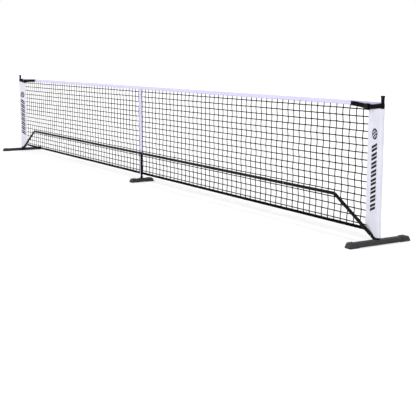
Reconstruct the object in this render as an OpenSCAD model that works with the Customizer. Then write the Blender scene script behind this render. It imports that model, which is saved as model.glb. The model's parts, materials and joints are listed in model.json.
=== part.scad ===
// Portable pickleball net: a knock-down tube frame on three feet, with the net hung between two posts.
// Millimetres. +X runs along the net, +Z is up, and the net hangs on the +Y side of the frame.
// The origin is on the floor, midway between the posts.

/* [Frame] */
// Distance between the two post axes
span = 6700; // [6000:50:7000]
// Height of the top edge of the net
net_top = 914; // [880:1:940]
// How far each post stands above the net, cap included
post_rise = 41; // [35:1:80]
// Outer diameter of the posts and the bar
tube_d = 23; // [22:0.5:25]
// Outer diameter of the centre leg
leg_d = 19; // [18:0.5:22]
// Wall of every round tube
tube_wall = 1; // [0.8:0.1:1.4]
// Length of the reduced male end of a tube
spigot_len = 60; // [50:1:70]

/* [Low bar] */
// Height of the bar's axis
bar_z = 274; // [250:1:320]
// How far inboard of the post the bar bends down
corner_inset = 450; // [400:5:500]
// Bend radius of the bar's corner, at its axis
bend_r = 60; // [40:1:90]
// Straight run of the bent tube, past its corner
bent_run = 550; // [450:10:600]
// Length of an outer bar tube without its male end
outer_bar_len = 1150; // [1000:10:1200]
// Length of the centre tee
tee_len = 160; // [150:1:200]

/* [Feet] */
// Length of an end foot over its caps
foot_len = 516; // [400:2:600]
// Length of the centre foot over its caps
center_foot_len = 240; // [220:10:300]
// Width of the foot tube
foot_w = 50; // [46:1:56]
// Height of the foot tube
foot_h = 30; // [28:1:32]
// Wall of the foot tube
foot_wall = 1.6; // [1.2:0.1:2]
// Thickness of an end cap under the foot tube
cap_floor = 2.5; // [2:0.5:4]
// Height of the post socket on an end foot
socket_len = 90; // [80:1:120]

/* [Net] */
// Height of the white band along the top
band_h = 31; // [28:1:36]
// Height of the black tape along the bottom
tape_h = 22; // [18:1:26]
// Height of the middle of the bottom tape
tape_z = 80; // [76:1:100]
// Width of the white strip at the centre
strip_w = 50; // [40:1:60]
// How far to the left of the leg the strip hangs
strip_shift = 36; // [0:1:40]
// Distance from the post axis to the inner edge of a post sleeve
sleeve_w = 145; // [120:1:180]

/* [Straps] */
// Width of the webbing
web_w = 30; // [25:1:32]
// Thickness of the webbing
web_t = 1.8; // [1.5:0.1:2]
// Distance from the post axis to the middle of the buckle
buckle_inset = 146; // [140:1:180]
// Distance from the right post axis to the loose end of its strap
right_tail_inset = 306; // [280:1:560]
// Distance from the left post axis to the loose end of its strap
left_tail_inset = 510; // [280:1:560]

/* [Snap buttons] */
// Diameter of a snap button
button_d = 7.4; // [7:0.1:7.6]
// How far a button stands out of its tube
button_proud = 2; // [1.5:0.1:2.2]

/* [Hidden] */
$fn = 48;

// Fits and small clearances
slip = 0.2;          // radial gap of a male end in its tube
far = 1;             // how far a cut runs past the solid it cuts

// Heights
foot_top = cap_floor + foot_h;
post_top = net_top + post_rise;

// Round tubes
spigot_wall = 1.2;
spigot_lead = 2;
function spigot_d(d) = d - 2 * tube_wall - 2 * slip;
socket_wall = 1.5;
socket_d = tube_d + 2 * slip + 2 * socket_wall;
button_at = spigot_len / 2;

// The sloping leg of the bent tube. Points are [x, z], with x from the post axis, outboard positive.
brace_end = [-13 - foot_w / 2, foot_top - 0.5];
corner = [-corner_inset, bar_z];
brace_dx = brace_end[0] - corner[0];
brace_dz = corner[1] - brace_end[1];
brace_angle = atan2(brace_dz, brace_dx);
bend_setback = bend_r * tan(brace_angle / 2);
brace_len = norm([brace_dx, brace_dz]) - bend_setback;
brace_root = 30;
saddle_t = 3;
saddle_w = 40;
saddle_drop = 24;
bend_lap = 0.6;      // degrees that the bend runs into the straight tubes
bend_swell = 0.05;   // how much the wall thickens where the tube is bent
bent_end = -corner_inset - bent_run;
outer_end = bent_end - outer_bar_len;
inner_end = -span / 2 + tee_len / 2;
leg_top = bar_z - tube_d / 2 - 0.5;
leg_base_t = 3;
leg_bottom = foot_top + leg_base_t;

// Post caps
cap_lip_d = tube_d + 5.5;
cap_skirt_d = tube_d + 2.5;
cap_h = 16;
cap_top_t = 3;
cap_skirt_h = 5;
cap_edge = 1.5;

// Foot end caps
foot_round = 5;
cap_side = 2.5;
cap_over = 2.5;
cap_w = foot_w + 2 * cap_side;
cap_top = foot_top + cap_over;
cap_foot_len = 84;
cap_roof_len = 44;
cap_nose = 15;
cap_nose_z = 7;
cap_nose_edge = 2;
cap_roof_drop = 3;
cap_roof_ease = 4;
cap_corner_r = 6;
cap_seat = 20;
cap_gap = 0.1;

// Layers of the net, as depths behind the frame
layer_front = 14;
layer_back = 18;
mesh_front = 15;
mesh_back = 17;
strip_front = 13;
net_half = span / 2 - sleeve_w;
band_bottom = net_top - band_h;
tape_top = tape_z + tape_h / 2;
tape_bottom = tape_z - tape_h / 2;
band_end_gap = 38;

// Post sleeve: a pocket round the post, sewn flat inboard of it. Its middle is [x, y] from the post axis.
pocket_mid = [-1.3, -1];
pocket_bore_r = tube_d / 2 + 3.7;
pocket_wall = 1.4;
pocket_r = pocket_bore_r + pocket_wall;
seam_inset = 110;
seam_depth = 6;
sleeve_back = 17.5;
sleeve_front = 14;
sleeve_skive = 0.5;
sleeve_bottom = 44;
sleeve_low_inset = 75;
sleeve_top = band_bottom - 1;
pocket_top = net_top - 41;
sleeve_steps = 20;
brace_clear = tube_d / 2 + 5;

// Straps. Each runs level round its post, dips to the buckle's mouth, and its tail rises again.
strap_z = net_top - 22;
strap_dip = 13.5;
buckle_tilt = 5.3;
tail_rise = 17;
wrap_r = tube_d / 2 + 0.4 + web_t / 2;
wrap_steps = 16;
run_skive = 0.1;
strap_sewn = [-140, layer_back + web_t / 2 + 0.2];
strap_turn = [-34, layer_back + web_t / 2 + 0.4];
web_run_y = 4.6;
tail_lean = 3;

// Cam buckles, in a frame whose origin is the middle of the buckle
buckle_len = 40;
buckle_h = 40;
buckle_plate = 2;
buckle_pin_d = 4;
buckle_pin_x = 3;
buckle_pin_y = -3.6;
pin_head_d = 6.4;
pin_head_t = 1.2;
cam_r = 7;
cam_play = 0.6;
cam_h = buckle_h - 2 * buckle_plate - 2 * cam_play;
cam_tooth = 1;
lever_len = 24;
lever_t = 3;
lever_bead = 4.5;
floor_gap = 0.6;
floor_from = -10;
cheek_back = 3;
cheek_front = -7;
anchor_bar_x = -buckle_len / 2 + 4;
anchor_bar_y = 10;
anchor_bar_d = 4;
anchor_sewn = 60;

// Snap buttons and their springs
hole_d = button_d + 0.6;
dome_r = 6;
leaf_w = 6;
leaf_t = 0.8;
leaf_back = 22;
leaf_front = 8;
leaf_gap = 0.05;
leaf_turn = 2;

// Tie at the foot of the centre strip
tie_w = 20;
tie_z = leg_bottom + 2;
tie_t = 1.6;

// Colours
metal = [0.09, 0.09, 0.1];
plastic = [0.12, 0.12, 0.13];
steel = [0.7, 0.7, 0.72];
webbing_black = [0.05, 0.05, 0.06];
white_vinyl = [0.9, 0.89, 0.97];
twine = [0.2, 0.2, 0.22];

// ---- Placing ----

// Puts an end piece, drawn for the right end with the post axis as its origin, at either end
module at_end(side) {
    if (side == "left") mirror([1, 0, 0]) translate([span / 2, 0, 0]) children();
    else translate([span / 2, 0, 0]) children();
}

// Lays something drawn along +Z so that it points inboard from x at the bar's height
module along_bar(x) {
    translate([x, 0, bar_z]) rotate([0, -90, 0]) children();
}

// Lays something drawn along +Z up the sloping leg, from its lower end
module along_brace() {
    translate([brace_end[0], 0, brace_end[1]]) rotate([0, brace_angle - 90, 0]) children();
}

// ---- Shapes used more than once ----

module tube(d, len, wall = tube_wall) {
    difference() {
        cylinder(d = d, h = len);
        translate([0, 0, -far]) cylinder(d = d - 2 * wall, h = len + 2 * far);
    }
}

// Button hole through the front wall of a tube at height z
module button_hole(z, d) {
    translate([0, 0, z]) rotate([90, 0, 0]) cylinder(d = hole_d, h = d / 2 + far);
}

// Reduced end of a tube, standing on its shoulder at z = 0
module spigot(d) {
    male_d = spigot_d(d);
    difference() {
        union() {
            cylinder(d = male_d, h = spigot_len - spigot_lead);
            translate([0, 0, spigot_len - spigot_lead])
                cylinder(d1 = male_d, d2 = male_d - spigot_lead, h = spigot_lead);
        }
        translate([0, 0, -far]) cylinder(d = male_d - 2 * spigot_wall, h = spigot_len + 2 * far);
        button_hole(button_at, d);
    }
}

// Bar tube: female at z = 0, male past z = len
module bar_tube(len) color(metal) {
    difference() {
        tube(tube_d, len);
        button_hole(button_at, tube_d);
    }
    shoulder(tube_d, len);
    translate([0, 0, len]) spigot(tube_d);
}

// Ring that closes the step between a tube and its male end
module shoulder(d, z) {
    ring_h = 2;
    translate([0, 0, z - ring_h]) tube(d, ring_h, d / 2 - spigot_d(d) / 2 + spigot_wall);
}

// Rectangle with round corners, built from true arcs
module rounded_rect(w, h, r) {
    square([w - 2 * r, h], center = true);
    square([w, h - 2 * r], center = true);
    for (x = [-1, 1], y = [-1, 1]) translate([x * (w / 2 - r), y * (h / 2 - r)]) circle(r = r);
}

// ---- Feet ----

module foot_section(grow) {
    rounded_rect(foot_w + 2 * grow, foot_h + 2 * grow, foot_round + grow);
}

module foot_tube(len) color(metal) {
    run = len - 2 * cap_seat;
    translate([0, run / 2, cap_floor + foot_h / 2]) rotate([90, 0, 0])
        linear_extrude(run) difference() {
            foot_section(0);
            foot_section(-foot_wall);
        }
}

// Side outline of a moulded end cap, as [y, z], with the tip of the foot at y = tip
function cap_outline(tip) = [
    [tip - cap_foot_len, 0],
    [tip - cap_nose_edge, 0],
    [tip, cap_nose_edge],
    [tip, cap_nose_z],
    [tip - cap_nose, cap_top - cap_roof_drop],
    [tip - cap_nose - cap_roof_ease, cap_top],
    [tip - cap_nose - cap_roof_len, cap_top],
    [tip - cap_foot_len, cap_nose_z],
];

// Moulded cap on the +Y end of a foot
module foot_cap(len) color(plastic) {
    tip = len / 2;
    difference() {
        intersection() {
            translate([-cap_w / 2, 0, 0]) rotate([90, 0, 90])
                linear_extrude(cap_w) polygon(cap_outline(tip));
            translate([0, tip - cap_foot_len / 2, 0])
                linear_extrude(cap_top) rounded_rect(cap_w, cap_foot_len + 2 * far, cap_corner_r);
        }
        translate([0, tip - cap_seat, cap_floor + foot_h / 2 + cap_gap]) rotate([90, 0, 0])
            linear_extrude(cap_foot_len) foot_section(cap_gap);
    }
}

// Sloping spigot for the bent tube, cut off where it meets the inboard side of the foot
module brace_spigot() {
    male_d = spigot_d(tube_d);
    reach = 4 * tube_d;
    difference() {
        union() {
            along_brace() translate([0, 0, -brace_root])
                cylinder(d = male_d, h = brace_root + spigot_len - spigot_lead);
            along_brace() translate([0, 0, spigot_len - spigot_lead])
                cylinder(d1 = male_d, d2 = male_d - spigot_lead, h = spigot_lead);
        }
        translate([-foot_w / 2 - far, -reach / 2, 0]) cube([reach, reach, reach]);
        along_brace() translate([0, 0, spigot_lead])
            cylinder(d = male_d - 2 * spigot_wall, h = spigot_len + far);
        along_brace() button_hole(button_at, tube_d);
    }
}

// Welded bracket on an end foot: a saddle plate bent down the foot's inboard side, with an upright
// socket for the post on its top and the sloping spigot on its side
module end_socket() color(metal) {
    side_x = -foot_w / 2 - saddle_t;
    difference() {
        union() {
            translate([0, 0, foot_top]) cylinder(d = socket_d, h = socket_len);
            translate([side_x, -saddle_w / 2, foot_top]) cube([-side_x, saddle_w, saddle_t]);
            translate([side_x, -saddle_w / 2, foot_top - saddle_drop])
                cube([saddle_t, saddle_w, saddle_drop + far]);
        }
        translate([0, 0, foot_top - far]) cylinder(d = tube_d + 2 * slip, h = socket_len + 2 * far);
        button_hole(foot_top + socket_len - button_at, socket_d);
    }
    brace_spigot();
}

// Welded plate on the centre foot, with an upright spigot that the leg slips over
module center_socket() color(metal) {
    plate_w = foot_w - 2 * foot_round;
    difference() {
        translate([-plate_w / 2, -foot_w / 2, foot_top]) cube([plate_w, foot_w, leg_base_t]);
        translate([0, 0, foot_top - far]) cylinder(d = leg_bore, h = leg_base_t + 2 * far);
    }
    translate([0, 0, leg_bottom]) spigot(leg_d);
}

// ---- Posts, bar and leg ----

module post() color(metal) {
    difference() {
        translate([0, 0, foot_top]) tube(tube_d, post_top - cap_top_t - foot_top);
        button_hole(foot_top + socket_len - button_at, tube_d);
    }
}

module post_cap() color(plastic) {
    flare = cap_h - cap_skirt_h - 2 * cap_edge;
    translate([0, 0, post_top - cap_h]) difference() {
        union() {
            cylinder(d = cap_skirt_d, h = cap_skirt_h);
            translate([0, 0, cap_skirt_h]) cylinder(d1 = cap_skirt_d, d2 = cap_lip_d, h = flare);
            translate([0, 0, cap_skirt_h + flare]) cylinder(d = cap_lip_d, h = cap_edge);
            translate([0, 0, cap_h - cap_edge])
                cylinder(d1 = cap_lip_d, d2 = cap_lip_d - 2 * cap_edge, h = cap_edge);
        }
        translate([0, 0, -far]) cylinder(d = tube_d + 2 * cap_gap, h = cap_h - cap_top_t + far);
    }
}

module bent_tube() color(metal) {
    difference() {
        along_brace() tube(tube_d, brace_len);
        along_brace() button_hole(button_at, tube_d);
    }
    translate([corner[0] - bend_setback, 0, corner[1] - bend_r]) rotate([90, 0, 0])
        rotate([0, 0, 90 - brace_angle - bend_lap]) rotate_extrude(angle = brace_angle + 2 * bend_lap)
            translate([bend_r, 0]) difference() {
                circle(d = tube_d + 2 * bend_swell);
                circle(d = tube_d - 2 * tube_wall - 2 * bend_swell);
            }
    straight = corner[0] - bend_setback - bent_end;
    along_bar(corner[0] - bend_setback) {
        tube(tube_d, straight);
        shoulder(tube_d, straight);
        translate([0, 0, straight]) spigot(tube_d);
    }
}

// Tee in the middle of the bar: an open tube along X with a spigot pointing down
module tee() color(metal) {
    difference() {
        union() {
            along_bar(tee_len / 2) cylinder(d = tube_d, h = tee_len);
            translate([0, 0, bar_z]) mirror([0, 0, 1])
                cylinder(d = spigot_d(leg_d), h = bar_z - leg_top + spigot_len);
        }
        along_bar(tee_len / 2 + far) cylinder(d = tube_d - 2 * tube_wall, h = tee_len + 2 * far);
        along_bar(tee_len / 2) button_hole(button_at, tube_d);
        along_bar(tee_len / 2) button_hole(tee_len - button_at, tube_d);
        translate([0, 0, leg_top - spigot_len - far])
            cylinder(d = spigot_d(leg_d) - 2 * spigot_wall, h = spigot_len + far - spigot_lead);
        button_hole(leg_top - button_at, leg_d);
    }
}

module leg() color(metal) {
    difference() {
        translate([0, 0, leg_bottom]) tube(leg_d, leg_top - leg_bottom);
        button_hole(leg_top - button_at, leg_d);
        button_hole(leg_bottom + button_at, leg_d);
    }
}

// ---- Snap buttons ----
// Drawn in a tube along +Z, with the button pointing to the front at z = 0.
// outer_d is the tube the button stands out of, bore_d the tube that its spring sits in.

module snap_button(outer_d, bore_d) color(steel) {
    tip = outer_d / 2 + button_proud;
    leaf_y = leaf_seat(bore_d);
    rotate([90, 0, 0]) intersection() {
        translate([0, 0, leaf_y]) cylinder(d = button_d, h = tip - leaf_y);
        union() {
            cylinder(d = button_d, h = tip - dome_r);
            translate([0, 0, tip - dome_r]) sphere(r = dome_r);
        }
    }
    translate([-leaf_w / 2, -leaf_y - leaf_t / 2, -leaf_back]) cube([leaf_w, leaf_t, leaf_back + leaf_front]);
}

// How far from the axis a flat leaf lies against the bore
function leaf_seat(bore_d) = sqrt(pow(bore_d / 2, 2) - pow(leaf_w / 2, 2)) - leaf_t - leaf_gap;

// Fixed half of the spring: a leaf along the far wall, turned up at its closed end
module spring_clip(bore_d) {
    seat = leaf_seat(bore_d);
    leaf_len = leaf_back + leaf_front + leaf_turn;
    translate([-leaf_w / 2, seat, -leaf_back - leaf_turn]) cube([leaf_w, leaf_t, leaf_len]);
    translate([-leaf_w / 2, leaf_t - seat, -leaf_back - leaf_turn]) cube([leaf_w, 2 * seat, leaf_t]);
}

// Tube frames at the five button places of an end, and the two of the leg
module at_post_button() translate([0, 0, foot_top + socket_len - button_at]) children();
module at_brace_button() along_brace() translate([0, 0, button_at]) children();
module at_corner_button() along_bar(bent_end - button_at) children();
module at_bar_button() along_bar(outer_end - button_at) children();
module at_tee_button() along_bar(inner_end - button_at) children();
module at_leg_top_button() translate([0, 0, leg_top - button_at]) children();
module at_leg_foot_button() translate([0, 0, leg_bottom + button_at]) children();

post_bore = tube_d - 2 * tube_wall;
bar_bore = spigot_d(tube_d) - 2 * spigot_wall;
leg_bore = spigot_d(leg_d) - 2 * spigot_wall;

module spring_clips() color(steel) {
    for (side = ["left", "right"]) at_end(side) {
        at_post_button() spring_clip(post_bore);
        at_brace_button() spring_clip(bar_bore);
        at_corner_button() spring_clip(bar_bore);
        at_bar_button() spring_clip(bar_bore);
        at_tee_button() spring_clip(bar_bore);
    }
    at_leg_top_button() spring_clip(leg_bore);
    at_leg_foot_button() spring_clip(leg_bore);
}

// ---- Net and its edges ----

// Direction from the middle of a circle to where a line from p just touches it, on the front or the back
function touch_angle(p, r, front) = atan2(p[1], p[0]) + (front ? 1 : -1) * acos(r / norm(p));

// Arc of the pocket round the outboard side of the post, from the back to where the line to p leaves it
function pocket_arc(r, p) =
    let(turn = touch_angle(p - pocket_mid, r, true) - 450)
    [for (i = [0:sleeve_steps]) let(a = 90 + turn * i / sleeve_steps) pocket_mid + r * [cos(a), sin(a)]];

// The sleeve seen from above: outer outline, and the hollow for the post
sleeve_seam = [-seam_inset, sleeve_front];
hollow_end = [-seam_inset + seam_depth, sleeve_back - pocket_wall];
sleeve_outer = concat(
    [[-sleeve_w, sleeve_back], [-seam_inset, sleeve_back]],
    pocket_arc(pocket_r, sleeve_seam),
    [sleeve_seam, [-sleeve_w, sleeve_front]]
);
sleeve_hollow = concat([hollow_end], pocket_arc(pocket_bore_r, hollow_end));

// Cut away from the flat part: a slanting lower edge that falls from the bottom tape towards the post
sleeve_cut = [
    [-sleeve_w - far, sleeve_bottom - far],
    [-sleeve_low_inset, sleeve_bottom - far],
    [-sleeve_low_inset, sleeve_bottom],
    [-sleeve_w - far, tape_bottom],
];

// The pocket stops under the strap, and its front is also cut away over the sloping leg
module net_sleeve() color(white_vinyl) {
    reach = 2 * sleeve_w;
    difference() {
        translate([0, 0, sleeve_bottom]) linear_extrude(sleeve_top - sleeve_bottom) difference() {
            polygon(sleeve_outer);
            polygon(sleeve_hollow);
        }
        along_brace() translate([brace_clear - reach, -reach, -reach])
            cube([reach, reach + sleeve_front + sleeve_skive, 2 * reach]);
        translate([0, reach, 0]) rotate([90, 0, 0]) linear_extrude(2 * reach) polygon(sleeve_cut);
        translate([-seam_inset, -reach, pocket_top]) cube([reach, 2 * reach, reach]);
    }
}

module net_mesh() color(twine) {
    translate([-net_half, mesh_front, tape_top])
        cube([2 * net_half, mesh_back - mesh_front, band_bottom - tape_top]);
}

module top_band() color(white_vinyl) {
    half = span / 2 - band_end_gap;
    translate([-half, layer_front, band_bottom]) cube([2 * half, layer_back - layer_front, band_h]);
}

module bottom_tape() color(webbing_black) {
    translate([-net_half, layer_front, tape_bottom]) cube([2 * net_half, layer_back - layer_front, tape_h]);
}

module center_strip() color(white_vinyl) {
    translate([-strip_shift - strip_w / 2, strip_front, tape_top])
        cube([strip_w, mesh_front - strip_front, band_bottom - tape_top]);
}

// Short webbing tie from the bottom tape to a loop round the centre leg
module center_tie_strap() color(webbing_black) {
    inner = leg_d / 2 + 0.3;
    translate([0, 0, tie_z]) tube(2 * (inner + tie_t), tie_w, tie_t);
    hull() {
        translate([-tie_w / 2, inner + 0.4, tie_z + 2]) cube([tie_w * 0.7, tie_t, tie_w - 4]);
        translate([-strip_shift - tie_w / 2, layer_front + 1, tape_bottom - tie_t])
            cube([tie_w, tie_t, tie_t]);
    }
}

// ---- Straps and buckles ----
// Paths are [x, y] points at the middle of the webbing, drawn for the right end from the post axis.

// Offsets a path sideways by d, using the mean direction at each point
function path_dir(p, i) =
    let(a = p[max(i - 1, 0)], b = p[min(i + 1, len(p) - 1)]) (b - a) / norm(b - a);
function path_side(p, d) = [for (i = [0:len(p) - 1]) let(t = path_dir(p, i)) p[i] + d * [-t[1], t[0]]];
function reversed(p) = [for (i = [len(p) - 1:-1:0]) p[i]];

module webbing(path) {
    linear_extrude(web_w, center = true)
        polygon(concat(path_side(path, web_t / 2), reversed(path_side(path, -web_t / 2))));
}

// Where the strap enters the buckle, from which the buckle and the tail slope up inboard
mouth = [-buckle_inset + buckle_len / 2, web_run_y];
mouth_z = strap_z - strap_dip;
module at_mouth() translate([mouth[0], 0, mouth_z]) rotate([0, buckle_tilt, 0]) children();
module at_buckle() at_mouth() translate([-buckle_len / 2, 0, 0]) children();

// The level part of the strap: sewn behind the band, brought round the post, and left on its front
front_touch = touch_angle(mouth, wrap_r, true) - 360;
back_touch = touch_angle(strap_turn, wrap_r, false);
wrap_end = wrap_r * [cos(front_touch), sin(front_touch)];
wrap_path = concat(
    [strap_sewn, strap_turn],
    [for (i = [0:wrap_steps]) let(a = back_touch + (front_touch - back_touch) * i / wrap_steps)
        wrap_r * [cos(a), sin(a)]]
);

// Thin upright slice of the webbing, for sloping runs hulled between two slices
module slice(angle) rotate([0, 0, angle]) cube([1, web_t - run_skive, web_w], center = true);

module tension_strap(tail_inset) color(webbing_black) {
    run_angle = atan2(mouth[1] - wrap_end[1], mouth[0] - wrap_end[0]);
    translate([0, 0, strap_z]) webbing(wrap_path);
    hull() {
        translate([wrap_end[0], wrap_end[1], strap_z]) slice(run_angle);
        at_mouth() translate([0, web_run_y, 0]) slice(0);
    }
    at_mouth() hull() {
        translate([0, web_run_y, 0]) slice(0);
        translate([-buckle_len, web_run_y, 0]) slice(0);
    }
    hull() {
        at_mouth() translate([-buckle_len, web_run_y, 0]) slice(0);
        translate([-tail_inset, web_run_y - tail_lean, mouth_z + tail_rise]) slice(0);
    }
}

// Tab sewn to the band, looped round the bar of the buckle frame
anchor_loop_r = anchor_bar_d / 2 + 0.2 + web_t / 2;
anchor_y = layer_front - web_t / 2 - 0.1;
anchor_path = let(c = [anchor_bar_x, anchor_bar_y]) concat(
    [[c[0] - anchor_sewn, anchor_y], [c[0] - 3 * anchor_bar_d, anchor_y]],
    [for (a = [90:-30:-90]) c + anchor_loop_r * [cos(a), sin(a)]],
    [[c[0] - 2 * anchor_bar_d, anchor_bar_y - anchor_bar_d / 2]]
);

module buckle_anchor() color(webbing_black) {
    at_buckle() webbing(anchor_path);
}

// Side plate of the buckle seen from above
cheek_outline = [
    [-buckle_len / 2, web_run_y + web_t],
    [-buckle_len / 2, anchor_bar_y + cheek_back],
    [anchor_bar_x + anchor_bar_d, anchor_bar_y + cheek_back],
    [anchor_bar_x + 2 * anchor_bar_d, web_run_y + 2 * cheek_back],
    [buckle_len / 2 - cheek_back, web_run_y + 2 * cheek_back],
    [buckle_len / 2, web_run_y + cheek_back],
    [buckle_len / 2, web_run_y - cheek_back],
    [buckle_pin_x + 2 * anchor_bar_d, cheek_front],
    [buckle_pin_x - 2 * anchor_bar_d, cheek_front],
    [anchor_bar_x + anchor_bar_d, web_run_y - cheek_back],
];

// Folded sheet frame: a floor behind the webbing, two cheeks, and a bar for the tab
module buckle_frame() color(plastic) {
    inside_h = buckle_h - 2 * buckle_plate;
    at_buckle() {
        difference() {
            for (z = [-buckle_h / 2, buckle_h / 2 - buckle_plate])
                translate([0, 0, z]) linear_extrude(buckle_plate) polygon(cheek_outline);
            translate([buckle_pin_x, buckle_pin_y, -buckle_h]) cylinder(d = buckle_pin_d, h = 2 * buckle_h);
        }
        translate([floor_from, web_run_y + web_t / 2 + floor_gap, -inside_h / 2])
            cube([buckle_len / 2 - cheek_back - floor_from, buckle_plate, inside_h]);
        translate([anchor_bar_x, anchor_bar_y, -inside_h / 2]) cylinder(d = anchor_bar_d, h = inside_h);
    }
}

module buckle_pin() color(steel) {
    at_buckle() translate([buckle_pin_x, buckle_pin_y, -buckle_h / 2]) {
        cylinder(d = buckle_pin_d, h = buckle_h);
        translate([0, 0, -pin_head_t]) cylinder(d = pin_head_d, h = pin_head_t);
        translate([0, 0, buckle_h]) cylinder(d = pin_head_d, h = pin_head_t);
    }
}

// Cam barrel with a thumb lever that lies flat over the webbing and swings out to the front
module buckle_lever() color(plastic) {
    at_buckle() translate([buckle_pin_x, buckle_pin_y, -cam_h / 2]) difference() {
        union() {
            cylinder(r = cam_r, h = cam_h);
            translate([-lever_len, -cam_r, 0]) cube([lever_len, lever_t, cam_h]);
            translate([-lever_len, -cam_r + lever_t / 2, 0]) cylinder(d = lever_bead, h = cam_h);
        }
        translate([0, 0, -far]) cylinder(d = buckle_pin_d + 0.1, h = cam_h + 2 * far);
        for (a = [40:20:140]) rotate([0, 0, a]) translate([cam_r, 0, -far])
            cylinder(d = cam_tooth, h = cam_h + 2 * far, $fn = 4);
    }
}

// ---- Pieces ----

module outer_bar() along_bar(bent_end) bar_tube(outer_bar_len);
module inner_bar() along_bar(outer_end) bar_tube(outer_end - inner_end);
module end_foot_cap_back() foot_cap(foot_len);
module end_foot_cap_front() mirror([0, 1, 0]) foot_cap(foot_len);
module post_button() at_post_button() snap_button(socket_d, post_bore);
module brace_button() at_brace_button() snap_button(tube_d, bar_bore);
module corner_button() at_corner_button() snap_button(tube_d, bar_bore);
module bar_button() at_bar_button() snap_button(tube_d, bar_bore);
module tee_button() at_tee_button() snap_button(tube_d, bar_bore);
module top_leg_button() at_leg_top_button() snap_button(leg_d, leg_bore);
module foot_leg_button() at_leg_foot_button() snap_button(leg_d, leg_bore);

at_end("left") foot_tube(foot_len);  // left_foot_tube
at_end("left") end_foot_cap_front();  // left_foot_cap_front
at_end("left") end_foot_cap_back();  // left_foot_cap_back
at_end("left") end_socket();  // left_foot_socket
at_end("left") post();  // left_post
at_end("left") post_cap();  // left_post_cap
at_end("left") bent_tube();  // left_bent_tube
at_end("left") outer_bar();  // left_outer_bar
at_end("left") inner_bar();  // left_inner_bar
at_end("left") post_button();  // left_post_button
at_end("left") brace_button();  // left_brace_button
at_end("left") corner_button();  // left_corner_button
at_end("left") bar_button();  // left_bar_button
at_end("left") tee_button();  // left_tee_button
at_end("left") net_sleeve();  // left_net_sleeve
at_end("left") tension_strap(left_tail_inset);  // left_tension_strap
at_end("left") buckle_anchor();  // left_buckle_anchor
at_end("left") buckle_frame();  // left_buckle_frame
at_end("left") buckle_pin();  // left_buckle_pin
at_end("left") buckle_lever();  // left_buckle_lever
at_end("right") foot_tube(foot_len);  // right_foot_tube
at_end("right") end_foot_cap_front();  // right_foot_cap_front
at_end("right") end_foot_cap_back();  // right_foot_cap_back
at_end("right") end_socket();  // right_foot_socket
at_end("right") post();  // right_post
at_end("right") post_cap();  // right_post_cap
at_end("right") bent_tube();  // right_bent_tube
at_end("right") outer_bar();  // right_outer_bar
at_end("right") inner_bar();  // right_inner_bar
at_end("right") post_button();  // right_post_button
at_end("right") brace_button();  // right_brace_button
at_end("right") corner_button();  // right_corner_button
at_end("right") bar_button();  // right_bar_button
at_end("right") tee_button();  // right_tee_button
at_end("right") net_sleeve();  // right_net_sleeve
at_end("right") tension_strap(right_tail_inset);  // right_tension_strap
at_end("right") buckle_anchor();  // right_buckle_anchor
at_end("right") buckle_frame();  // right_buckle_frame
at_end("right") buckle_pin();  // right_buckle_pin
at_end("right") buckle_lever();  // right_buckle_lever
foot_tube(center_foot_len);  // center_foot_tube
mirror([0, 1, 0]) foot_cap(center_foot_len);  // center_foot_cap_front
foot_cap(center_foot_len);  // center_foot_cap_back
center_socket();  // center_foot_socket
tee();  // center_tee
leg();  // center_leg
top_leg_button();  // leg_top_button
foot_leg_button();  // leg_foot_button
spring_clips();
net_mesh();
top_band();
bottom_tape();
center_strip();
center_tie_strap();
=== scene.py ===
"""Looks of a portable pickleball net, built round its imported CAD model. Metres throughout, +X along the net."""
import json
import math

import bpy
import numpy as np
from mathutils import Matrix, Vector, noise


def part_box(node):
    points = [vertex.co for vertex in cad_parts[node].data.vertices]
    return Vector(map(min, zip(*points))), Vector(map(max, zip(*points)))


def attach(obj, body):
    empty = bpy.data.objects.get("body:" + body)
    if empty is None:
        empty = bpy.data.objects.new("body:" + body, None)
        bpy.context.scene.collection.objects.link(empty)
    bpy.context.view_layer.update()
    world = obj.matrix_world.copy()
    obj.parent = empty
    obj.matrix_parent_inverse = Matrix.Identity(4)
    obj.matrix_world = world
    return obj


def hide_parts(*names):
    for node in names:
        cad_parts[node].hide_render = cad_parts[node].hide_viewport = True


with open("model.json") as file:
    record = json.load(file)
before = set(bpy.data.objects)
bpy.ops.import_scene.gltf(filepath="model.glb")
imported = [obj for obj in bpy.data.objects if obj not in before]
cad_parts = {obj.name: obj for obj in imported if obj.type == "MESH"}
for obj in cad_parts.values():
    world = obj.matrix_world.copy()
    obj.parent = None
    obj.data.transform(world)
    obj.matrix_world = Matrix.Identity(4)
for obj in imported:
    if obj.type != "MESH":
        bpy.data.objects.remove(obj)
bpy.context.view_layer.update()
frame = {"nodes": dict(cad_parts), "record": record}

MM = 0.001
SIDES = {"left": -1, "right": 1}

# ---------------------------------------------------------------- camera

CAMERA_AT = (7.545, -3.840, 1.210)
CAMERA_YAW = -1.0242     # radians from +Y towards +X
CAMERA_PITCH = -0.1723   # radians above the horizon
CAMERA_LENS = 76.3       # mm on a 36 mm sensor


def make_camera():
    data = bpy.data.cameras.new("camera")
    data.lens = CAMERA_LENS
    data.sensor_width = 36
    data.clip_end = 200
    camera = bpy.data.objects.new("camera", data)
    bpy.context.collection.objects.link(camera)
    forward = Vector((
        math.sin(CAMERA_YAW) * math.cos(CAMERA_PITCH),
        math.cos(CAMERA_YAW) * math.cos(CAMERA_PITCH),
        math.sin(CAMERA_PITCH),
    ))
    camera.location = CAMERA_AT
    camera.rotation_euler = forward.to_track_quat("-Z", "Y").to_euler()
    bpy.context.scene.camera = camera


make_camera()

# ---------------------------------------------------------------- sizes taken from the frame

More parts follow.
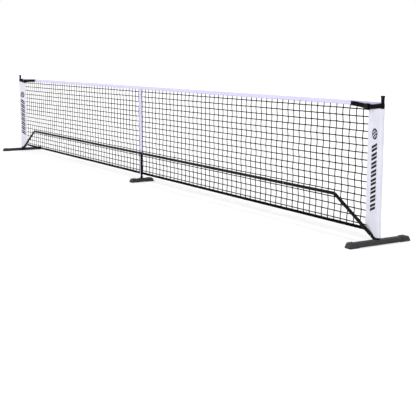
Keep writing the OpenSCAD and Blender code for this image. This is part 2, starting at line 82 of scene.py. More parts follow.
POST_X = float(np.mean([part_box("right_post")[0][0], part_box("right_post")[1][0]]))
POST_R = (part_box("right_post")[1][0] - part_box("right_post")[0][0]) / 2
LEG_R = (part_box("center_leg")[1][0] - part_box("center_leg")[0][0]) / 2
MESH_LOW, MESH_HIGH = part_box("net_mesh")
BAND_LOW, BAND_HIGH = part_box("top_band")
TAPE_LOW, TAPE_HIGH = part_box("bottom_tape")
STRIP_LOW, STRIP_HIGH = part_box("center_strip")
STRIP_X = (STRIP_LOW[0] + STRIP_HIGH[0]) / 2
SLEEVE_LOW, SLEEVE_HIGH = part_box("right_net_sleeve")
TIE_LOW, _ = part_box("center_tie_strap")
_, BENT_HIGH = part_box("right_bent_tube")
NET_Y = (MESH_LOW[1] + MESH_HIGH[1]) / 2

# ---------------------------------------------------------------- materials


class Shader:
    """A principled material, with short ways to add nodes to it."""

    def __init__(self, name, color, roughness, **sockets):
        self.material = bpy.data.materials.new(name)
        self.material.use_nodes = True
        self.tree = self.material.node_tree
        self.bsdf = self.tree.nodes["Principled BSDF"]
        self.bsdf.inputs["Base Color"].default_value = (*color, 1)
        self.bsdf.inputs["Roughness"].default_value = roughness
        for socket, value in sockets.items():
            self.bsdf.inputs[socket.replace("_", " ")].default_value = value

    def node(self, kind, links=None, **settings):
        made = self.tree.nodes.new(kind)
        for key, value in settings.items():
            if hasattr(made, key):
                setattr(made, key, value)
            else:
                made.inputs[key.replace("_", " ")].default_value = value
        for key, source in (links or {}).items():
            self.tree.links.new(source, made.inputs[key])
        return made

    def place(self):
        """The point on the piece, in metres."""
        return self.node("ShaderNodeTexCoord").outputs["Object"]

    def noise(self, scale, detail=3.0):
        return self.node("ShaderNodeTexNoise", {"Vector": self.place()}, Scale=scale, Detail=detail).outputs["Fac"]

    def waves(self, direction, pitch):
        """Ridges across an axis, one to each pitch."""
        scale = math.pi / 10 / pitch
        made = self.node("ShaderNodeTexWave", {"Vector": self.place()}, bands_direction=direction, Scale=scale)
        return made.outputs["Fac"]

    def mixed(self, a, b, how="MULTIPLY"):
        return self.node("ShaderNodeMath", {0: a, 1: b}, operation=how).outputs[0]

    def tint(self, fac, low, high, start=0.3, end=0.7):
        """Base colour that runs from one colour to another with fac."""
        ramp = self.node("ShaderNodeValToRGB", {"Fac": fac})
        ramp.color_ramp.elements[0].position = start
        ramp.color_ramp.elements[0].color = (*low, 1)
        ramp.color_ramp.elements[1].position = end
        ramp.color_ramp.elements[1].color = (*high, 1)
        self.tree.links.new(ramp.outputs["Color"], self.bsdf.inputs["Base Color"])

    def rough(self, fac, low, high):
        spread = self.node("ShaderNodeMapRange", {"Value": fac}, To_Min=low, To_Max=high)
        self.tree.links.new(spread.outputs["Result"], self.bsdf.inputs["Roughness"])

    def bump(self, height, distance, strength=1.0):
        """Adds relief; a second call adds to the first."""
        links = {"Height": height}
        old = self.bsdf.inputs["Normal"].links
        if old:
            links["Normal"] = old[0].from_socket
        made = self.node("ShaderNodeBump", links, Strength=strength, Distance=distance)
        self.tree.links.new(made.outputs["Normal"], self.bsdf.inputs["Normal"])


def powder_coat(name, dark, light, gloss):
    s = Shader(name, dark, 0.4, Specular_IOR_Level=gloss)
    s.tint(s.noise(60), dark, light)
    s.rough(s.noise(25, 5), 0.36, 0.52)
    s.bump(s.noise(1400, 2), 0.00012)
    return s.material


def moulded_plastic(name, dark, light, grain, gloss):
    s = Shader(name, dark, 0.55, Specular_IOR_Level=gloss)
    s.tint(s.noise(40), dark, light)
    s.rough(s.noise(90, 4), 0.46, 0.66)
    s.bump(s.noise(grain, 2), 0.00015)
    return s.material


def plated_steel():
    s = Shader("plated_steel", (0.55, 0.55, 0.57), 0.3, Metallic=1.0)
    s.tint(s.noise(300), (0.46, 0.46, 0.48), (0.62, 0.62, 0.64))
    s.rough(s.noise(500), 0.22, 0.4)
    return s.material


def coated_cloth(name, low, high):
    s = Shader(name, high, 0.55, Specular_IOR_Level=0.3, Sheen_Weight=0.05)
    s.tint(s.noise(18, 4), low, high)
    s.rough(s.noise(120, 3), 0.48, 0.62)
    weave = s.mixed(s.waves("X", 0.0011), s.waves("Z", 0.0011))
    s.bump(weave, 0.00010, 0.6)
    s.bump(s.noise(70, 4), 0.0006, 0.5)
    return s.material


def webbing(name, dark, light, gloss):
    s = Shader(name, dark, 0.85, Specular_IOR_Level=gloss)
    s.tint(s.noise(500, 2), dark, light)
    ribs = s.mixed(s.waves("X", 0.0016), s.waves("Z", 0.0024))
    s.bump(ribs, 0.0004)
    s.bump(s.noise(1500, 2), 0.00015)
    return s.material


def twine():
    s = Shader("braided_twine", (0.004, 0.004, 0.004), 0.8, Specular_IOR_Level=0.06)
    s.tint(s.noise(260, 3), (0.002, 0.002, 0.002), (0.006, 0.006, 0.007))
    s.bump(s.waves("DIAGONAL", 0.0022), 0.0006)
    return s.material


def thread(name, color):
    s = Shader(name, color, 0.6, Sheen_Weight=0.1)
    shade = tuple(0.8 * c for c in color)
    s.tint(s.noise(900, 2), shade, color)
    s.bump(s.waves("DIAGONAL", 0.0009), 0.0002)
    return s.material


def ink():
    s = Shader("screen_print", (0.006, 0.006, 0.009), 0.55, Specular_IOR_Level=0.15)
    s.tint(s.noise(160, 4), (0.004, 0.004, 0.007), (0.010, 0.010, 0.014))
    s.bump(s.mixed(s.waves("X", 0.0011), s.waves("Z", 0.0011)), 0.00006)
    return s.material


MATERIALS = {
    "powder_coated_tube": powder_coat("powder_coat", (0.002, 0.002, 0.003), (0.005, 0.005, 0.006), 0.07),
    "moulded_plastic": moulded_plastic("foot_plastic", (0.020, 0.021, 0.024), (0.030, 0.031, 0.035), 700, 0.3),
    "buckle_plastic": moulded_plastic("buckle_plastic", (0.004, 0.004, 0.005), (0.008, 0.008, 0.009), 1100, 0.15),
    "steel": plated_steel(),
    "white_vinyl": coated_cloth("white_vinyl", (0.59, 0.57, 0.79), (0.63, 0.605, 0.83)),
    "webbing": webbing("black_webbing", (0.003, 0.003, 0.004), (0.009, 0.009, 0.010), 0.04),
    "black_tape": webbing("black_tape", (0.001, 0.001, 0.002), (0.004, 0.004, 0.005), 0.03),
    "net_twine": twine(),
}
SLEEVE_CLOTH = coated_cloth("sleeve_vinyl", (0.62, 0.62, 0.71), (0.68, 0.675, 0.77))
WHITE_THREAD = thread("white_thread", (0.74, 0.73, 0.86))
BLACK_THREAD = thread("black_thread", (0.012, 0.012, 0.014))
INK = ink()
# Painted light: the foot tubes wear the same black powder coat as the bars, but this copy is painted lighter so that
# their flat sides look lit.
FOOT_COAT = powder_coat("foot_coat_painted_light", (0.026, 0.026, 0.029), (0.038, 0.038, 0.042), 0.2)

SLOT_OF = {row["node"]: row["material_slot"] for row in frame["record"]["subparts"]}
for node_name, node_object in frame["nodes"].items():
    finish = MATERIALS[SLOT_OF[node_name]]
    # The foot tubes take the lighter copy of the powder coat, with painted light in it.
    if node_name.endswith("foot_tube"):
        finish = FOOT_COAT
    elif node_name.endswith("post_cap"):
        finish = MATERIALS["buckle_plastic"]
    for material_slot in node_object.material_slots:
        material_slot.material = finish

# ---------------------------------------------------------------- mesh making


def new_piece(name, points, faces, material, slot_name, body="frame", smooth=True):
    """A mesh object that rides on a body and takes the given material; slot_name is not used."""
    data = bpy.data.meshes.new(name)
    data.from_pydata([tuple(p) for p in points], [], faces)
    data.update()
    data.materials.append(material)
    data.polygons.foreach_set("use_smooth", [smooth] * len(data.polygons))
    piece = bpy.data.objects.new(name, data)
    bpy.context.collection.objects.link(piece)
    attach(piece, body)
    return piece


def grid_faces(rows, columns, wrap=False, start=0):
    """Quads between neighbouring rows of points; wrap joins the last column to the first."""
    faces = []
    for i in range(rows - 1):
        for j in range(columns if wrap else columns - 1):
            k = (j + 1) % columns
            a, b = start + i * columns, start + (i + 1) * columns
            faces.append((a + j, a + k, b + k, b + j))
    return faces


class Parts:
    """Points and faces of several shapes that end up as one mesh."""

    def __init__(self):
        self.points = []
        self.faces = []
        self.count = 0

    def add(self, points, faces):
        points = np.asarray(points, float).reshape(-1, 3)
        self.points.append(points)
        self.faces += [tuple(self.count + i for i in f) for f in faces]
        self.count += len(points)

    def grid(self, points, wrap=False):
        rows, columns = np.shape(points)[:2]
        self.add(points, grid_faces(rows, columns, wrap))

    def tube(self, rings):
        """Rings of points joined into a closed tube."""
        first, (rows, columns) = self.count, np.shape(rings)[:2]
        self.grid(rings, wrap=True)
        self.faces.append(tuple(first + j for j in range(columns))[::-1])
        self.faces.append(tuple(first + (rows - 1) * columns + j for j in range(columns)))

    def piece(self, name, material, slot_name, **more):
        return new_piece(name, np.concatenate(self.points), self.faces, material, slot_name, **more)


def thicken(piece, thickness, offset=0.0):
    made = piece.modifiers.new("thickness", "SOLIDIFY")
    made.thickness = thickness
    made.offset = offset
    return piece


def at_end(side, inboard, y, z):
    """A point given by its distance inboard of the post."""
    return (SIDES[side] * (POST_X - inboard), y, z)


def stitch_line(parts, line, out, pitch=6 * MM, length=4 * MM, width=0.9 * MM):
    """Lays stitches along a line of points, standing a little out of the cloth along out."""
    line = np.asarray(line, float)
    along = np.concatenate([[0], np.cumsum(np.linalg.norm(np.diff(line, axis=0), axis=1))])
    count = int(along[-1] / pitch)
    out = np.asarray(out, float)
    for n in range(count):
        middle = (n + 0.5) * along[-1] / count
        a, b = (
            np.array([np.interp(middle + h, along, line[:, k]) for k in range(3)])
            for h in (-length / 2, length / 2)
        )
        along_it = (b - a) / np.linalg.norm(b - a)
        across = np.cross(along_it, out) * width / 2
        up = out * width / 2
        m = (a + b) / 2
        points = [a - up * 0.4, m + across, m + up, m - across, m - up, b - up * 0.4]
        faces = [(0, 1, 2), (0, 2, 3), (0, 3, 4), (0, 4, 1), (5, 2, 1), (5, 3, 2), (5, 4, 3), (5, 1, 4)]
        parts.add(points, faces)


def ripple(x, z, seed, scale):
    """Smooth noise from about -1 to 1."""
    return noise.noise(Vector((x * scale, seed * 7.3, z * scale)))


# ---------------------------------------------------------------- net mesh

ROWS = 17
ROW_PITCH = 47.2 * MM
FIRST_ROW = 861 * MM
COLUMNS = 93
COLUMN_PITCH = 68.6 * MM
UPRIGHT = (5.0 * MM, 2.6 * MM)   # half width and half depth of the braided twine
LEVEL = (3.9 * MM, 2.2 * MM)
KNOT = (7.0 * MM, 3.3 * MM, 6.4 * MM)
STRING_SIDES = 6
WAVE = 3.0 * MM
TUCK = 6 * MM            # how far a string's end is sewn in
PRESSED = 0.35           # share of its depth that a string keeps where it is sewn in
RINGS_UP = 66            # rings of points along an upright string, and along a level one
RINGS_ALONG = 290


def column_shift(x, z):
    """How far an upright string wanders from its straight line."""
    sway = math.sin(2 * math.pi * z / (3 * ROW_PITCH) + 0.6 * math.sin(1.7 * x))
    return WAVE * (sway + 0.5 * ripple(x, z, 3, 9))


def row_drop(x, row):
    """How far a level string strays from its straight line."""
    return 1.4 * MM * ripple(x, row * 0.31, 5, 14)


def string_ring(half_wide, half_deep):
    return [
        (half_wide * math.cos(a), half_deep * math.sin(a))
        for a in np.linspace(0, 2 * math.pi, STRING_SIDES, endpoint=False)
    ]


def tucked(low, high, count):
    """Places along a string and how thick it is there, pressed flat where its ends are sewn in."""
    places = sorted([low + TUCK, high - TUCK, *np.linspace(low, high, count)])
    return [(p, PRESSED if min(p - low, high - p) < TUCK - 1e-6 else 1.0) for p in places]


def under_strip(along):
    """The same places, with the string pressed flat between the two layers of the centre strip."""
    low, high = STRIP_LOW[0], STRIP_HIGH[0]
    edges = [(low - TUCK, 1.0), (low, PRESSED), (high, PRESSED), (high + TUCK, 1.0)]
    clear = [(x, f) for x, f in along if not low - TUCK <= x <= high + TUCK]
    return sorted(clear + edges)


def make_net():
    low_x, high_x = MESH_LOW[0] - TUCK, MESH_HIGH[0] + TUCK
    low_z, high_z = MESH_LOW[2] - TUCK, MESH_HIGH[2] + TUCK
    columns = [COLUMN_PITCH * (n - (COLUMNS - 1) / 2) for n in range(COLUMNS)]
    rows = [FIRST_ROW - ROW_PITCH * n for n in range(ROWS)]
    parts = Parts()
    upright, level = string_ring(*UPRIGHT), string_ring(*LEVEL)
    heights = tucked(low_z, high_z, RINGS_UP)
    along = under_strip(tucked(low_x, high_x, RINGS_ALONG))
    for x in columns:
        parts.tube([[(x + column_shift(x, z) + a, NET_Y + b * f, z) for a, b in upright] for z, f in heights])
    for n, z in enumerate(rows):
        parts.tube([[(x, NET_Y - b * f, z + row_drop(x, n) + a) for a, b in level] for x, f in along])
    knot_points, knot_faces = knot()
    for x in columns:
        for n, z in enumerate(rows):
            parts.add(knot_points + (x + column_shift(x, z), NET_Y, z + row_drop(x, n)), knot_faces)
    net = parts.piece("net_strings", MATERIALS["net_twine"], "net_twine")
    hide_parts("net_mesh")


def knot():
    """A small lump where two strings cross, as points and faces."""
    around, levels = 6, (-0.6, 0.0, 0.6)
    wide, deep, tall = KNOT
    points = [(0, 0, -tall)]
    for level in levels:
        r = math.sqrt(1 - level * level)
        for k in range(around):
            a = 2 * math.pi * k / around
            points.append((wide * r * math.cos(a), deep * r * math.sin(a), tall * level))
    points.append((0, 0, tall))
    faces = grid_faces(len(levels), around, wrap=True, start=1)
    last = len(points) - 1
    for k in range(around):
        j = (k + 1) % around
        faces.append((0, 1 + j, 1 + k))
        faces.append((last, last - around + k, last - around + j))
    return np.array(points), faces


make_net()

# ---------------------------------------------------------------- bands and strips

CLOTH_T = 0.9 * MM
SWAY = 1.2 * MM          # how far a stretched tape wanders from its straight line
SWAY_SCALE = 2.2
TAPE_STEPS = 330
TAPE_END = 20 * MM       # the length over which a tape's end is pressed flat
TAPE_END_FLAT = 0.45     # share of its depth that is left at the very end
TAPE_SEAM = 4 * MM       # from a cut edge to the stitches along it


def folded_tape(name, low, high, node, material, slot_name, thread_material, fold_up, seed):
    """A strip folded over one edge of the net: two walls, joined by a rounded fold."""
    deep = high[1] - low[1]
    bead = deep / 2 - CLOTH_T / 2
    wall = 0.30 * deep
    middle = (low[1] + high[1]) / 2
    sign = 1 if fold_up else -1
    fold_z = (high[2] if fold_up else low[2]) - sign * (bead + CLOTH_T / 2)
    edge_z = low[2] if fold_up else high[2]
    profile = [(-wall, edge_z), (-wall, edge_z + 0.35 * (fold_z - edge_z)), (-wall * 1.1, fold_z - sign * 4 * MM)]
    profile += [
        (-bead * math.cos(a), fold_z + sign * bead * math.sin(a))
        for a in np.linspace(math.radians(-20), math.radians(200), 13)
    ]
    profile += [(-y, z) for y, z in profile[2::-1]]
    steps = np.arange(low[0], high[0] + 1e-6, (high[0] - low[0]) / TAPE_STEPS)
    grid = []
    for x in steps:
        sway = SWAY * ripple(x, 0, seed, SWAY_SCALE)
        from_end = min(x - low[0], high[0] - x) / TAPE_END
        flat = TAPE_END_FLAT + (1 - TAPE_END_FLAT) * math.sqrt(max(0.0, min(1.0, from_end)))
        line = []
        for y, z in profile:
            y *= flat
            loose = abs(z - fold_z) / abs(edge_z - fold_z)
            buckle = 0.5 * MM * loose * ripple(x, z, seed + 1, 16)
            line.append((x, middle + y + sway + buckle, z + 0.5 * MM * ripple(x, 1, seed + 2, 5) * loose))
        grid.append(line)
    parts = Parts()
    parts.grid(grid)
    tape = thicken(parts.piece(name, material, slot_name), CLOTH_T)
    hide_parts(node)

    stitches = Parts()
    for face in (-1, 1):
        line = []
        for x in steps[::3]:
            y = middle + face * (wall + CLOTH_T / 2) + SWAY * ripple(x, 0, seed, SWAY_SCALE)
            line.append((x, y, edge_z + sign * TAPE_SEAM))
        stitch_line(stitches, line, (0, face, 0), pitch=9 * MM, length=6.5 * MM, width=1.1 * MM)
    stitches.piece(name.replace("cloth", "stitching"), thread_material, slot_name)
    return tape


folded_tape("top_band_cloth", BAND_LOW, BAND_HIGH, "top_band", MATERIALS["white_vinyl"], "white_vinyl",
            WHITE_THREAD, True, 11)
folded_tape("bottom_tape_cloth", TAPE_LOW, TAPE_HIGH, "bottom_tape", MATERIALS["black_tape"], "black_tape",
            BLACK_THREAD, False, 23)


STRIP_OUT = 2.7 * MM     # from the middle of the net to the middle of each layer
STRIP_SEAM = 4 * MM
STRIP_ROWS = 90


def make_center_strip():
    """Two strips of cloth, one on each face of the net, sewn to each other through it."""
    low_z, high_z = TAPE_LOW[2] + 4 * MM, BAND_LOW[2] + 5 * MM
    half = (STRIP_HIGH[0] - STRIP_LOW[0]) / 2
    across = np.linspace(-half, half, 13)
    heights = np.linspace(low_z, high_z, STRIP_ROWS)
    parts, stitches = Parts(), Parts()
    for face in (-1, 1):
        def front(x, z):
            edge = abs(x) / half
            return NET_Y + face * (STRIP_OUT - 0.7 * MM * edge ** 4 + 0.6 * MM * ripple(x, z, 31 + face, 12))
        parts.grid([[(STRIP_X + x, front(x, z), z) for x in across] for z in heights])
        for x in (-half + STRIP_SEAM, half - STRIP_SEAM):
            line = [(STRIP_X + x, front(x, z) + face * CLOTH_T / 2, z) for z in heights]
            stitch_line(stitches, line, (0, face, 0), pitch=8 * MM, length=5.5 * MM, width=1.0 * MM)
    strip = thicken(parts.piece("center_strip_cloth", MATERIALS["white_vinyl"], "white_vinyl"), CLOTH_T)
    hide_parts("center_strip")
    stitches.piece("center_strip_stitching", WHITE_THREAD, "white_vinyl")


make_center_strip()

# ---------------------------------------------------------------- post sleeves

SLEEVE_W = POST_X - SLEEVE_LOW[0]
POCKET_MID = np.array([1.3, -1.0]) * MM   # inboard of the post, and y
POCKET_R = SLEEVE_HIGH[0] - POST_X + POCKET_MID[0] - 0.7 * MM
FLAT_BACK = SLEEVE_HIGH[1] - 0.6 * MM
FLAT_FRONT = FLAT_BACK - 2.3 * MM
SEAM = 112 * MM
POCKET_TOP = 873 * MM    # where the pocket stops, under the strap
# The sloping leg's axis: a height over the post's axis, and a slope inboard.
BRACE_FOOT = (38 * MM, 32 * MM)
BRACE_CORNER = (450 * MM, (BENT_HIGH[2] - POST_R))
BRACE_ANGLE = math.atan2(BRACE_CORNER[1] - BRACE_FOOT[1], BRACE_CORNER[0] - BRACE_FOOT[0])
BRACE_CLEAR = 18 * MM
LOW_INSET = 75 * MM      # inboard of the post, where the slanting lower edge meets the level one
SLEEVE_ROWS = 180


def sleeve_path():
    """The cloth seen from above, as (inboard, y): back layer, round the post, front layer."""
    seam = np.array([SEAM, FLAT_FRONT])
    to_seam = seam - POCKET_MID
    touch = math.atan2(to_seam[1], to_seam[0]) - math.acos(POCKET_R / math.hypot(*to_seam))
    back = POCKET_MID + (0, POCKET_R)
    path = [(u, FLAT_BACK) for u in np.linspace(SLEEVE_W, SEAM, 22)]
    path += [seam + (back - seam) * t + (0, (FLAT_BACK - FLAT_FRONT) * (1 - t)) for t in np.linspace(0, 1, 9)[1:]]
    path += [
        POCKET_MID + POCKET_R * np.array([math.cos(a), math.sin(a)])
        for a in np.linspace(math.pi / 2, 2 * math.pi + touch, 26)[1:]
    ]
    left = path[-1]
    path += [left + (seam - left) * t for t in np.linspace(0, 1, 10)[1:]]
    path += [(u, FLAT_FRONT) for u in np.linspace(SEAM, SLEEVE_W, 22)[1:]]
    return np.array(path)


SLEEVE_PATH = sleeve_path()
FRONT_FROM = int(np.argmin(SLEEVE_PATH[:, 1]))


def brace_height(inboard):
    """Height of the line that the front layer is cut to, above the sloping leg."""
    above = BRACE_FOOT[1] + (inboard - BRACE_FOOT[0]) * math.tan(BRACE_ANGLE)
    return above + BRACE_CLEAR / math.cos(BRACE_ANGLE)


def sleeve_bottom(inboard, front):
    """Height of the sleeve's lower edge; the front layer ends above the sloping leg."""
    slant = max(0.0, (inboard - LOW_INSET) / (SLEEVE_W - LOW_INSET))
    low = SLEEVE_LOW[2] + slant * (TAPE_LOW[2] - SLEEVE_LOW[2])
    return max(low, brace_height(inboard)) if front else low


def sleeve_top(inboard):
    """Height of its upper edge, which is lower on the pocket than on the flat part."""
    t = min(1.0, max(0.0, (inboard - SEAM + 8 * MM) / (6 * MM)))
    return POCKET_TOP + t * (SLEEVE_HIGH[2] - POCKET_TOP)


def sleeve_relief(inboard, z, front):
    """How far the cloth stands out of its path: soft folds, deeper towards the post."""
    loose = 0.5 + 0.5 * min(1.0, max(0.0, (SEAM + 15 * MM - inboard) / (30 * MM)))
    folds = 1.1 * MM * ripple(inboard * 1.6, z * 0.55, 41 + front, 17)
    pulls = 0.7 * MM * ripple(inboard + 0.6 * z, z, 47 + front, 30)
    return loose * (folds + pulls)


def path_normals(path):
    """Unit normals that point out of a path that goes round the post from back to front."""
    step = np.gradient(path, axis=0)
    step /= np.linalg.norm(step, axis=1)[:, None]
    return np.stack([step[:, 1], -step[:, 0]], axis=1)


def make_sleeve(side):
    name = side + "_sleeve"
    normals = path_normals(SLEEVE_PATH)
    grid = []
    for t in np.linspace(0, 1, SLEEVE_ROWS):
        line = []
        for k, (u, y) in enumerate(SLEEVE_PATH):
            low = sleeve_bottom(u, k >= FRONT_FROM)
            z = low + t * (sleeve_top(u) - low)
            d = sleeve_relief(u, z, k > FRONT_FROM)
            line.append(at_end(side, u + normals[k][0] * d, y + normals[k][1] * d, z))
        grid.append(line)
    parts = Parts()
    parts.grid(grid)
    cloth = thicken(parts.piece(name + "_cloth", SLEEVE_CLOTH, "white_vinyl"), CLOTH_T)
    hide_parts(side + "_net_sleeve")

    stitches = Parts()
    for u in (SEAM + 4 * MM, SLEEVE_W - 4 * MM, SLEEVE_W - 9 * MM):
        for front, y, face in ((True, FLAT_FRONT, -1), (False, FLAT_BACK, 1)):
            heights = np.linspace(sleeve_bottom(u, front) + 6 * MM, SLEEVE_HIGH[2] - 4 * MM, 80)
            line = [at_end(side, u, y + face * (CLOTH_T / 2 + sleeve_relief(u, z, front)), z) for z in heights]
            stitch_line(stitches, line, (0, face, 0), width=1.0 * MM)
    stitches.piece(name + "_stitching", WHITE_THREAD, "white_vinyl")


def front_point(side, inboard, z, lift):
    """A point a little in front of the sleeve's front layer."""
    front = SLEEVE_PATH[FRONT_FROM:]
    y = np.interp(inboard, front[:, 0], front[:, 1])
    slope = (np.interp(inboard + MM, front[:, 0], front[:, 1]) - y) / MM
    out = np.array([slope, -1.0]) / math.hypot(slope, 1.0)
    d = sleeve_relief(inboard, z, True) + lift
    return at_end(side, inboard + out[0] * d, y + out[1] * d, z)


PRINT_MIDDLE = 64 * MM   # inboard of the post
PRINT_HALF = 36 * MM
BALL_Z = 710 * MM
BALL_HOLES = ((0.0, 1), (0.56, 6))   # rings of holes: share of the ball's radius, and how many
HOLE_R = 6.5 * MM
MARKS_TOP = 642 * MM
MARKS_BOTTOM = 202 * MM
MARKS = 8
BAR_THICK = 17 * MM
BAR_GAP = 7 * MM
SLANT = 14 * MM


def make_print(side):
    """A plain printed mark: a ball with holes in it, over a row of slanting double bars."""
    lift = CLOTH_T / 2 + 0.45 * MM
    ink, holes = Parts(), Parts()

    def disc(parts, u, z, radius, steps, rings, out):
        parts.grid([
            [front_point(side, u + r * math.cos(a), z + r * math.sin(a), out)
             for a in np.linspace(0, 2 * math.pi, steps, endpoint=False)]
            for r in np.linspace(0.2 * MM, radius, rings)
        ], wrap=True)

    disc(ink, PRINT_MIDDLE, BALL_Z, PRINT_HALF, 40, 10, lift)
    for ring_r, count in BALL_HOLES:
        for n in range(count):
            a = 2 * math.pi * n / count + math.pi / 6
            u, z = (PRINT_HALF * ring_r * f for f in (math.cos(a), math.sin(a)))
            disc(holes, PRINT_MIDDLE + u, BALL_Z + z, HOLE_R, 16, 4, lift + 0.3 * MM)
    pitch = (MARKS_TOP - MARKS_BOTTOM) / MARKS
    for n in range(MARKS):
        for k in range(2):
            top = MARKS_TOP - n * pitch - k * (BAR_THICK + BAR_GAP)
            ink.grid([
                [front_point(side, PRINT_MIDDLE + PRINT_HALF * across, top - down * BAR_THICK - SLANT * across, lift)
                 for across in np.linspace(-1, 1, 15)]
                for down in np.linspace(0, 1, 5)
            ])
    thicken(ink.piece(side + "_sleeve_print", INK, "white_vinyl"), 0.25 * MM)
    thicken(holes.piece(side + "_sleeve_print_holes", SLEEVE_CLOTH, "white_vinyl"), 0.25 * MM)


for side_name in SIDES:
    make_sleeve(side_name)
    make_print(side_name)

# ---------------------------------------------------------------- webbing
# Paths are (inboard, y, z) points along the middle of the webbing.

WEB_T = 1.8 * MM
WEB_W = 30 * MM
STRAP_Z = 892 * MM
WRAP_R = POST_R + 0.4 * MM + WEB_T / 2
WRAP_BACK_Y = BAND_HIGH[1] + WEB_T / 2 + 0.4 * MM
WEB_RUN_Y = 4.6 * MM
MOUTH = 126 * MM        # inboard of the post, where the strap enters the buckle
MOUTH_Z = 878.5 * MM
BUCKLE_LEN = 40 * MM
BUCKLE_TILT = math.radians(5.3)
TAIL_Z = 895.5 * MM
BAR_Y = 10 * MM          # where the bar of the buckle lies that the tab is folded round
WEB_SEAM = 4 * MM        # from the edge of the webbing to its stitches


def even_line(points, pitch):
    """Points at an even pitch along a line, its corners eased."""
    points = np.asarray(points, float)
    for _ in range(2):
        cut = [points[0]]
        for a, b in zip(points, points[1:]):
            cut += [0.75 * a + 0.25 * b, 0.25 * a + 0.75 * b]
        points = np.array(cut + [points[-1]])
    along = np.concatenate([[0], np.cumsum(np.linalg.norm(np.diff(points, axis=0), axis=1))])
    at = np.linspace(0, along[-1], max(3, int(along[-1] / pitch)))
    return np.stack([np.interp(at, along, points[:, k]) for k in range(3)], axis=1)


def add_webbing(parts, side, path, width=WEB_W, thickness=WEB_T):
    """A flat strap that stands on edge and follows a path."""
    half_w, half_t = width / 2, thickness / 2
    inner = half_w - 0.9 * half_t
    edge = list(np.linspace(-inner, inner, 7))
    section = [(w, half_t) for w in edge] + [(half_w, 0.0)] + [(w, -half_t) for w in edge[::-1]] + [(-half_w, 0.0)]
    rings = []
    for (u, y, z), (nu, ny) in zip(path, path_normals(path[:, :2])):
        rings.append([at_end(side, u + nu * d, y + ny * d, z + w) for w, d in section])
    parts.tube(rings)


def wrap_touch(u, y, front):
    """Direction from the post to where a line from (inboard, y) touches the wrap round it."""
    return math.atan2(y, u) + (-1 if front else 1) * math.acos(WRAP_R / math.hypot(u, y))


def make_strap(side):
    turn = (34 * MM, WRAP_BACK_Y)
    tail_end = POST_X - min(abs(c[0]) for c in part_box(side + "_tension_strap"))
    start, end = wrap_touch(*turn, False), 2 * math.pi + wrap_touch(MOUTH, WEB_RUN_Y, True)
    path = [(140 * MM, WRAP_BACK_Y - 0.2 * MM, STRAP_Z), (*turn, STRAP_Z)]
    path += [(WRAP_R * math.cos(a), WRAP_R * math.sin(a), STRAP_Z) for a in np.linspace(start, end, 22)]
    inside = MOUTH_Z + BUCKLE_LEN * math.tan(BUCKLE_TILT)
    hang = (tail_end - MOUTH - BUCKLE_LEN) / 3
    path += [
        (MOUTH, WEB_RUN_Y, MOUTH_Z),
        (MOUTH + BUCKLE_LEN, WEB_RUN_Y, inside),
        (tail_end - 2 * hang, WEB_RUN_Y - 0.2 * MM, inside + 0.42 * (TAIL_Z - inside)),
        (tail_end - hang, WEB_RUN_Y - 1.4 * MM, inside + 0.8 * (TAIL_Z - inside)),
        (tail_end - 0.5 * MM, WEB_RUN_Y - 3 * MM, TAIL_Z),
    ]
    path = even_line(path, 3 * MM)
    parts, stitches = Parts(), Parts()
    add_webbing(parts, side, path)
    hem = path[-8:] - (0, WEB_T, 0)
    add_webbing(parts, side, hem)
    strap = parts.piece(side + "_strap_webbing", MATERIALS["webbing"], "webbing")
    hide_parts(side + "_tension_strap")
    sew_box(stitches, side, hem[1][0], hem[-2][0], hem[4][1] - WEB_T / 2, hem[4][2], False)
    stitches.piece(side + "_strap_stitching", BLACK_THREAD, "webbing")


def sew_box(parts, side, near, far, y, z, crossed):
    """Stitches round a rectangle of webbing, with a cross in it if asked."""
    low, high = z - WEB_W / 2 + WEB_SEAM, z + WEB_W / 2 - WEB_SEAM
    corners = [(near, low), (far, low), (far, high), (near, high), (near, low)]
    if crossed:
        corners += [(far, high), (far, low), (near, high)]
    for (ua, za), (ub, zb) in zip(corners, corners[1:]):
        line = [at_end(side, ua, y, za), at_end(side, ub, y, zb)]
        stitch_line(parts, line, (0, -1, 0), pitch=3.4 * MM, length=2.6 * MM, width=0.8 * MM)


def make_anchor(side):
    """The tab that holds the buckle, folded round its bar and sewn to the band."""
    bar = MOUTH + BUCKLE_LEN - 4 * MM
    slope = math.tan(BUCKLE_TILT)
    loop = 2.2 * MM + WEB_T / 2
    y = BAND_LOW[1] - WEB_T / 2 - 0.1 * MM
    flat = [(bar + 59 * MM, y), (bar + 12 * MM, y)]
    flat += [(bar + loop * math.cos(a), BAR_Y + loop * math.sin(a)) for a in np.linspace(0.5, 1.5, 12) * math.pi]
    flat += [(bar + 8 * MM, BAR_Y - 2 * MM), (bar + 16 * MM, y - WEB_T), (bar + 40 * MM, y - WEB_T)]
    path = [(u, v, MOUTH_Z + (u - MOUTH) * slope) for u, v in flat]
    parts, stitches = Parts(), Parts()
    add_webbing(parts, side, even_line(path, 2 * MM), thickness=1.5 * MM)
    anchor = parts.piece(side + "_anchor_webbing", MATERIALS["webbing"], "webbing")
    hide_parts(side + "_buckle_anchor")
    middle = bar + 28 * MM
    sew_box(stitches, side, middle - 9 * MM, middle + 9 * MM, y - WEB_T - 0.75 * MM,
            MOUTH_Z + (middle - MOUTH) * slope, True)
    stitches.piece(side + "_anchor_stitching", BLACK_THREAD, "webbing")


for side_name in SIDES:
    make_strap(side_name)
    make_anchor(side_name)


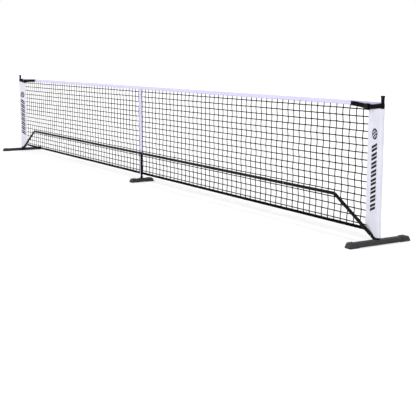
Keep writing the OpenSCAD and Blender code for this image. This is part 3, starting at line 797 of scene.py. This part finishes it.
def make_tie():
    """A loop round the centre leg, with a tail up to the bottom tape."""
    thick, high = 1.6 * MM, 20 * MM
    r = LEG_R + 0.3 * MM
    low = TIE_LOW[2]
    ring = []
    for a in np.linspace(0, 2 * math.pi, 40, endpoint=False):
        c, s = math.cos(a), math.sin(a)
        ring.append([(d * c, d * s, z) for d, z in (
            (r, low + 0.6 * MM), (r, low + high - 0.6 * MM), (r + thick / 2, low + high),
            (r + thick, low + high - 0.6 * MM), (r + thick, low + 0.6 * MM), (r + thick / 2, low))])
    parts = Parts()
    parts.grid(ring + [ring[0]], wrap=True)
    top = (STRIP_X, NET_Y - 1 * MM, TAPE_LOW[2] + 6 * MM)
    start = (-4 * MM, r + 1.9 * MM, low + high / 2)
    tail = []
    for t in np.linspace(0, 1, 16):
        ease = t * t * (3 - 2 * t)
        x = start[0] + (top[0] - start[0]) * ease - 5 * MM * math.sin(math.pi * t)
        y = start[1] + (top[1] - start[1]) * t
        z = start[2] + (top[2] - start[2]) * t
        tail.append([(x + sx * 9 * MM, y + sy * thick / 2, z) for sx, sy in ((-1, -1), (1, -1), (1, 1), (-1, 1))])
    parts.tube(tail)
    tie = parts.piece("center_tie_webbing", MATERIALS["webbing"], "webbing")
    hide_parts("center_tie_strap")


make_tie()

# ---------------------------------------------------------------- rounded edges on the moulded pieces

SOFT_EDGES = {
    "foot_cap_front": 1.2 * MM, "foot_cap_back": 1.2 * MM, "post_cap": 0.5 * MM,
    "buckle_frame": 0.4 * MM, "buckle_lever": 0.35 * MM,
}


def soften(node, width):
    """Rounds the edges of a CAD piece as shown."""
    made = frame["nodes"][node].modifiers.new("edge", "BEVEL")
    made.width = width
    made.segments = 2
    made.limit_method = "ANGLE"
    made.angle_limit = math.radians(35)


for ending, edge_width in SOFT_EDGES.items():
    for node_name in frame["nodes"]:
        if node_name.endswith(ending):
            soften(node_name, edge_width)

# ---------------------------------------------------------------- floor and light

FLOOR_HALF = 60.0
SKY_LOW = 0.20           # what the sky gives off near the horizon, and overhead
SKY_HIGH = 0.80
SUN = 2.4
SUN_ANGLE = 150          # a very large soft light
SUN_RAY = (-0.20, 0.75, -0.85)


def make_stage():
    corners = [(x * FLOOR_HALF, y * FLOOR_HALF, 0) for x, y in ((-1, -1), (1, -1), (1, 1), (-1, 1))]
    data = bpy.data.meshes.new("floor")
    data.from_pydata(corners, [], [(0, 1, 2, 3)])
    floor = bpy.data.objects.new("floor", data)
    bpy.context.collection.objects.link(floor)
    s = Shader("floor_white", (0.97, 0.97, 0.97), 0.9, Specular_IOR_Level=0.1)
    data.materials.append(s.material)

    world = bpy.data.worlds.new("studio")
    world.use_nodes = True
    nodes, links = world.node_tree.nodes, world.node_tree.links
    shown = nodes["Background"]
    shown.inputs["Strength"].default_value = 1.0
    shown.inputs["Color"].default_value = (1, 1, 1, 1)
    lit = nodes.new("ShaderNodeBackground")
    lit.inputs["Color"].default_value = (1, 1, 1, 1)
    height = nodes.new("ShaderNodeSeparateXYZ")
    links.new(nodes.new("ShaderNodeTexCoord").outputs["Generated"], height.inputs[0])
    fade = nodes.new("ShaderNodeMapRange")
    fade.inputs["From Min"].default_value = 0.05
    fade.inputs["From Max"].default_value = 0.75
    fade.inputs["To Min"].default_value = SKY_LOW
    fade.inputs["To Max"].default_value = SKY_HIGH
    links.new(height.outputs["Z"], fade.inputs["Value"])
    links.new(fade.outputs["Result"], lit.inputs["Strength"])
    mix = nodes.new("ShaderNodeMixShader")
    links.new(nodes.new("ShaderNodeLightPath").outputs["Is Camera Ray"], mix.inputs["Fac"])
    links.new(lit.outputs[0], mix.inputs[1])
    links.new(shown.outputs[0], mix.inputs[2])
    links.new(mix.outputs[0], nodes["World Output"].inputs["Surface"])
    bpy.context.scene.world = world

    sun_data = bpy.data.lights.new("key", "SUN")
    sun_data.energy = SUN
    sun_data.angle = math.radians(SUN_ANGLE)
    sun = bpy.data.objects.new("key", sun_data)
    sun.rotation_euler = Vector(SUN_RAY).to_track_quat("-Z", "Y").to_euler()
    bpy.context.collection.objects.link(sun)
    bpy.context.scene.view_settings.view_transform = "Standard"


make_stage()
